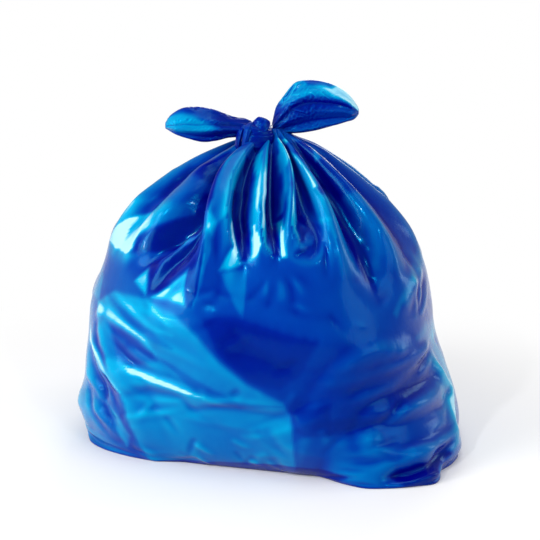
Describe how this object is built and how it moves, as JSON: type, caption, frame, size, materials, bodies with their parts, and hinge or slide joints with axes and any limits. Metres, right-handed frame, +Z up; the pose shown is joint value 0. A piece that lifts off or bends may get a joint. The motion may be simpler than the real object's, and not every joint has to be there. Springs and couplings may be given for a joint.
{
  "type": "garbage bag",
  "caption": "Filled plastic garbage bag standing on the floor, tied at the top in a half knot with two ears, with gathered folds below the knot.",
  "frame": {"origin": "middle of the flat patch that the bag stands on", "axes": "+Z up, -Y towards the front of the bag, +X to its right as seen from the front, along which its two ears spread"},
  "size_m": [0.4309, 0.3462, 0.4035],
  "materials": {
    "film": "glossy thin polyethylene film, deep blue, creased and slightly translucent"
  },
  "bodies": {
    "root": {"garbage_bag": "film"}
  },
  "joints": []
}
